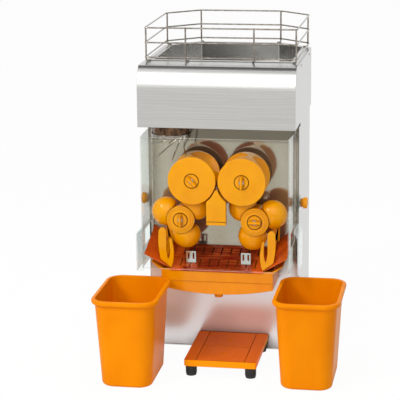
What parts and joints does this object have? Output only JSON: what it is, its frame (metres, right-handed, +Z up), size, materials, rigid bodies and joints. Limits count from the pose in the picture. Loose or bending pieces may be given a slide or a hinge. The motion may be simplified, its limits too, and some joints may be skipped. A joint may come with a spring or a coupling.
{
  "type": "commercial citrus juicer",
  "caption": "Countertop automatic citrus juicer with an overhanging fruit hopper, cupped squeezing drums behind a clear cover, a juice tank, peel bins and a drip tray.",
  "frame": {"origin": "on the counter under the middle of the cabinet's plan", "axes": "+Z up, -Y towards the front with the drums, +X to the right seen from the front"},
  "size_m": [0.602, 0.6828, 0.8432],
  "materials": {
    "brushed_steel": "vertically brushed stainless sheet",
    "polished_steel": "near-mirror stainless sheet",
    "chrome_wire": "bright wire",
    "dark_steel": "dark stained steel tube",
    "machined_steel": "machined steel, unseen inside",
    "orange_plastic": "glossy moulded plastic",
    "bin_plastic": "smooth moulded plastic",
    "tray_plastic": "smooth deep orange plastic",
    "clear_plastic": "clear polycarbonate",
    "black_rubber": "matt rubber",
    "black_plastic": "fine textured plastic",
    "motor_paint": "painted motor housing, unseen inside"
  },
  "bodies": {
    "cabinet": {"base_plate": "brushed_steel", "column_shell": "brushed_steel", "front_panel": "polished_steel", "rear_cover": "brushed_steel", "hood": "brushed_steel", "hopper_tray": "polished_steel", "feed_chute": "dark_steel", "wire_guide": "chrome_wire", "mounting_plate": "machined_steel", "rear_bearing_plate": "machined_steel", "gearmotor": "motor_paint", "knife_holder": "orange_plastic", "knife_blade": "polished_steel", "strainer": "polished_steel", "juice_tank": "orange_plastic", "power_inlet": "black_plastic", "left_drum_bearing": "machined_steel", "right_drum_bearing": "machined_steel", "left_rotor_bearing": "machined_steel", "right_rotor_bearing": "machined_steel", "left_ejector": "orange_plastic", "left_bracket": "polished_steel", "left_cover_stud": "machined_steel", "right_ejector": "orange_plastic", "right_bracket": "polished_steel", "right_cover_stud": "machined_steel"},
    "left_drum": {"left_drum": "orange_plastic", "left_drum_shaft": "polished_steel", "left_drum_gear": "machined_steel"},
    "right_drum": {"right_drum": "orange_plastic", "right_drum_shaft": "polished_steel", "right_drum_gear": "machined_steel"},
    "left_rotor": {"left_rotor": "orange_plastic", "left_rotor_shaft": "polished_steel", "left_rotor_gear": "machined_steel"},
    "right_rotor": {"right_rotor": "orange_plastic", "right_rotor_shaft": "polished_steel", "right_rotor_gear": "machined_steel"},
    "drive_pinion": {"drive_pinion": "machined_steel"},
    "front_cover": {"front_cover": "clear_plastic", "left_scoop": "clear_plastic", "right_scoop": "clear_plastic"},
    "left_cover_knob": {"left_cover_knob": "orange_plastic"},
    "right_cover_knob": {"right_cover_knob": "orange_plastic"},
    "basket": {"basket": "chrome_wire"},
    "drip_tray": {"drip_tray": "tray_plastic", "left_front_foot": "black_rubber", "left_rear_foot": "black_rubber", "right_front_foot": "black_rubber", "right_rear_foot": "black_rubber"},
    "front_lid": {"front_lid": "tray_plastic"},
    "rear_lid": {"rear_lid": "tray_plastic"},
    "left_bin": {"left_bin": "bin_plastic"},
    "right_bin": {"right_bin": "bin_plastic"},
    "power_switch": {"power_switch": "black_plastic"},
    "left_drum_knob": {"left_drum_knob": "orange_plastic"},
    "right_drum_knob": {"right_drum_knob": "orange_plastic"},
    "left_rotor_knob": {"left_rotor_knob": "orange_plastic"},
    "right_rotor_knob": {"right_rotor_knob": "orange_plastic"}
  },
  "joints": [
    {"name": "left_drum_spin", "type": "hinge", "parent": "cabinet", "child": "left_drum", "pos_m": [-0.063, -0.228, 0.47], "axis": [0, 1, 0], "continuous": true},
    {"name": "right_drum_spin", "type": "hinge", "parent": "cabinet", "child": "right_drum", "pos_m": [0.063, -0.228, 0.47], "axis": [0, 1, 0], "continuous": true},
    {"name": "left_rotor_spin", "type": "hinge", "parent": "cabinet", "child": "left_rotor", "pos_m": [-0.094, -0.228, 0.36655], "axis": [0, 1, 0], "continuous": true},
    {"name": "right_rotor_spin", "type": "hinge", "parent": "cabinet", "child": "right_rotor", "pos_m": [0.094, -0.228, 0.36655], "axis": [0, 1, 0], "continuous": true},
    {"name": "drive_pinion_spin", "type": "hinge", "parent": "cabinet", "child": "drive_pinion", "pos_m": [-0.04413, -0.12, 0.30272], "axis": [0, 1, 0], "continuous": true},
    {"name": "left_drum_knob_turn", "type": "hinge", "parent": "left_drum", "child": "left_drum_knob", "pos_m": [-0.063, -0.27, 0.47], "axis": [0, 1, 0], "range_deg": [0, 90]},
    {"name": "right_drum_knob_turn", "type": "hinge", "parent": "right_drum", "child": "right_drum_knob", "pos_m": [0.063, -0.27, 0.47], "axis": [0, 1, 0], "range_deg": [0, 90]},
    {"name": "left_rotor_knob_turn", "type": "hinge", "parent": "left_rotor", "child": "left_rotor_knob", "pos_m": [-0.094, -0.27, 0.36655], "axis": [0, 1, 0], "range_deg": [0, 90]},
    {"name": "right_rotor_knob_turn", "type": "hinge", "parent": "right_rotor", "child": "right_rotor_knob", "pos_m": [0.094, -0.27, 0.36655], "axis": [0, 1, 0], "range_deg": [0, 90]},
    {"name": "front_cover_slide", "type": "slide", "parent": "cabinet", "child": "front_cover", "axis": [0, -1, 0], "range_m": [0, 0.18]},
    {"name": "left_cover_knob_turn", "type": "hinge", "parent": "cabinet", "child": "left_cover_knob", "pos_m": [-0.2, -0.148, 0.393], "axis": [-1, 0, 0], "range_deg": [0, 360]},
    {"name": "right_cover_knob_turn", "type": "hinge", "parent": "cabinet", "child": "right_cover_knob", "pos_m": [0.2, -0.148, 0.393], "axis": [1, 0, 0], "range_deg": [0, 360]},
    {"name": "basket_lift", "type": "slide", "parent": "cabinet", "child": "basket", "axis": [0, 0, 1], "range_m": [0, 0.06]},
    {"name": "drip_tray_slide", "type": "slide", "parent": "cabinet", "child": "drip_tray", "axis": [0, -1, 0], "range_m": [0, 0.15]},
    {"name": "front_lid_lift", "type": "slide", "parent": "drip_tray", "child": "front_lid", "axis": [0, 0, 1], "range_m": [0, 0.05]},
    {"name": "rear_lid_lift", "type": "slide", "parent": "drip_tray", "child": "rear_lid", "axis": [0, 0, 1], "range_m": [0, 0.05]},
    {"name": "left_bin_slide", "type": "slide", "parent": "cabinet", "child": "left_bin", "axis": [0, -1, 0], "range_m": [0, 0.15]},
    {"name": "right_bin_slide", "type": "slide", "parent": "cabinet", "child": "right_bin", "axis": [0, -1, 0], "range_m": [0, 0.15]},
    {"name": "power_switch_rock", "type": "hinge", "parent": "cabinet", "child": "power_switch", "pos_m": [-0.046, 0.157, 0.11], "axis": [1, 0, 0], "range_deg": [-8, 8]}
  ],
  "couplings": [
    {"joint": "right_drum_spin", "follows": "left_drum_spin", "ratio": -1},
    {"joint": "left_rotor_spin", "follows": "left_drum_spin", "ratio": -1},
    {"joint": "right_rotor_spin", "follows": "left_drum_spin", "ratio": 1},
    {"joint": "drive_pinion_spin", "follows": "left_drum_spin", "ratio": 2}
  ]
}
